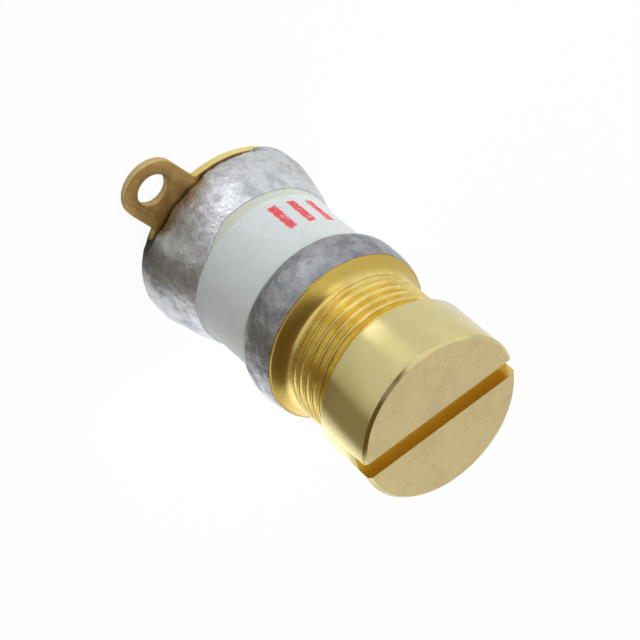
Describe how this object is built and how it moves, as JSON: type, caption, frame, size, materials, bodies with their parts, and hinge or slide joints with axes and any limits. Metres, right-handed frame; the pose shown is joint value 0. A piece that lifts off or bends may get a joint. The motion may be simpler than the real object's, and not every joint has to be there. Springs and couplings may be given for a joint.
{
  "type": "trimmer capacitor",
  "caption": "Cylindrical air trimmer capacitor: ceramic tube soldered between a threaded panel bushing with slotted sealing cap and a rear terminal disc with solder lug.",
  "frame": {"origin": "centre of the rear terminal's flat back face, on the axis", "axes": "+Z along the axis from the rear terminal towards the sealing cap; +X from the axis towards the hole of the solder lug"},
  "size_m": [0.0098, 0.0074, 0.0131],
  "materials": {
    "gold_terminal": "gold plated, dull",
    "gold_bushing": "gold plated, bright",
    "gold_cap": "pale gold plated, satin",
    "plated_rings": "plated, satin",
    "solder": "reflowed tin-lead solder, slightly lumpy",
    "alumina": "ground, smooth, unglazed",
    "seal_rubber": "matte silicone"
  },
  "bodies": {
    "housing": {"rear_terminal": "gold_terminal", "rear_solder": "solder", "ceramic_tube": "alumina", "front_solder": "solder", "bushing": "gold_bushing", "stator": "plated_rings"},
    "rotor_cup": {"rotor": "plated_rings"},
    "tuner": {"tuning_screw": "gold_bushing"},
    "seal_ring": {"cap_seal": "seal_rubber"},
    "sealing_cap": {"cap": "gold_cap"}
  },
  "joints": [
    {"name": "rotor_travel", "type": "slide", "parent": "housing", "child": "rotor_cup", "axis": [0, 0, 1], "range_m": [0, 0.00298]},
    {"name": "tuning_turn", "type": "hinge", "parent": "rotor_cup", "child": "tuner", "pos_m": [0, 0, 0.0069], "axis": [0, 0, 1], "range_deg": [0, 2700]},
    {"name": "cap_travel", "type": "slide", "parent": "housing", "child": "seal_ring", "axis": [0, 0, 1], "range_m": [0, 0.00119]},
    {"name": "cap_turn", "type": "hinge", "parent": "seal_ring", "child": "sealing_cap", "pos_m": [0, 0, 0.0118], "axis": [0, 0, 1], "range_deg": [0, 1080]}
  ],
  "couplings": [
    {"joint": "tuning_turn", "follows": "rotor_travel", "rad_per_m": 15827},
    {"joint": "cap_turn", "follows": "cap_travel", "rad_per_m": 15827}
  ]
}
